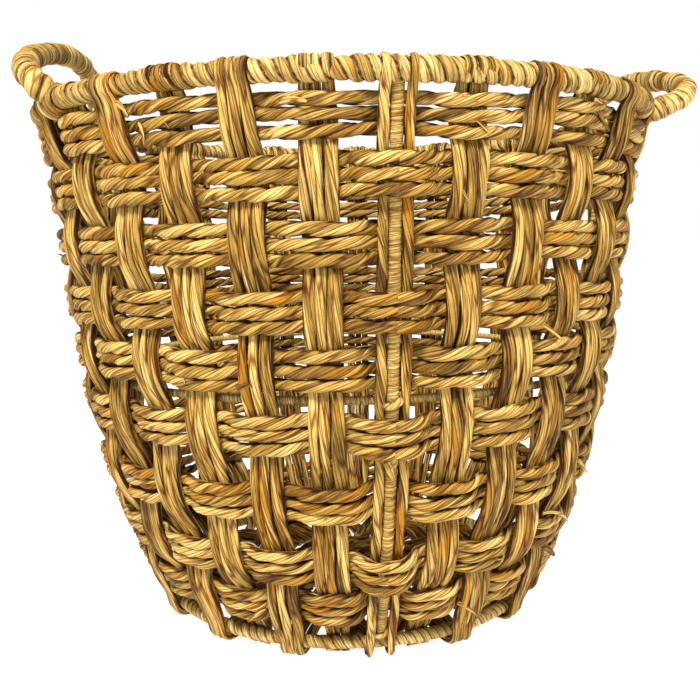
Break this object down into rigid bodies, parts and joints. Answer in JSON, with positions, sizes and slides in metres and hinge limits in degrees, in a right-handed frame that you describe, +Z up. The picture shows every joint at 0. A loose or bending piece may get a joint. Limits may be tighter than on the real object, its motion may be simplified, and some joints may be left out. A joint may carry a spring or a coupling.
{
  "type": "storage basket",
  "caption": "Round tapered open-weave basket of twisted seagrass cord on a wrapped wire frame, with a woven base and two rigid ear handles.",
  "frame": {"origin": "middle of the box that holds the basket and its handles, on the floor it stands on", "axes": "+X from the upright left handle towards the lower right handle, -Y the front, +Z up out of the mouth"},
  "size_m": [0.5014, 0.4532, 0.4308],
  "materials": {
    "steel_wire": "bare drawn wire, dull",
    "leaf_wrap": "dry twisted leaf, wound tight, slightly glossy on the ridges",
    "stake_cord": "dry twisted leaf cord, matt with satin ridges",
    "weaver_cord": "dry twisted leaf cord, matt with satin ridges"
  },
  "bodies": {
    "root": {"rim_wire": "steel_wire", "rim_wrap": "leaf_wrap", "mid_ring_wire": "steel_wire", "mid_ring_wrap": "leaf_wrap", "base_ring_wire": "steel_wire", "base_ring_wrap": "leaf_wrap", "upright_front": "leaf_wrap", "upright_right": "leaf_wrap", "upright_back": "leaf_wrap", "upright_left": "leaf_wrap", "row_1": "weaver_cord", "row_2": "weaver_cord", "row_3": "weaver_cord", "row_4": "weaver_cord", "row_5": "weaver_cord", "row_6": "weaver_cord", "row_7": "weaver_cord", "row_8": "weaver_cord", "row_9": "weaver_cord", "stake_01": "stake_cord", "stake_02": "stake_cord", "stake_03": "stake_cord", "stake_04": "stake_cord", "stake_05": "stake_cord", "stake_06": "stake_cord", "stake_07": "stake_cord", "stake_08": "stake_cord", "stake_09": "stake_cord", "stake_10": "stake_cord", "stake_11": "stake_cord", "stake_12": "stake_cord", "stake_13": "stake_cord", "stake_14": "stake_cord", "stake_15": "stake_cord", "stake_16": "stake_cord", "stake_17": "stake_cord", "stake_18": "stake_cord", "stake_19": "stake_cord", "stake_20": "stake_cord", "stake_21": "stake_cord", "stake_22": "stake_cord", "stake_23": "stake_cord", "stake_24": "stake_cord", "stake_25": "stake_cord", "stake_26": "stake_cord", "stake_27": "stake_cord", "stake_28": "stake_cord", "stake_29": "stake_cord", "stake_30": "stake_cord", "stake_31": "stake_cord", "stake_32": "stake_cord", "base_row_1": "weaver_cord", "base_row_2": "weaver_cord", "base_centre": "weaver_cord", "handle_right_wire": "steel_wire", "handle_right_wrap": "leaf_wrap", "handle_left_wire": "steel_wire", "handle_left_wrap": "leaf_wrap"}
  },
  "joints": []
}
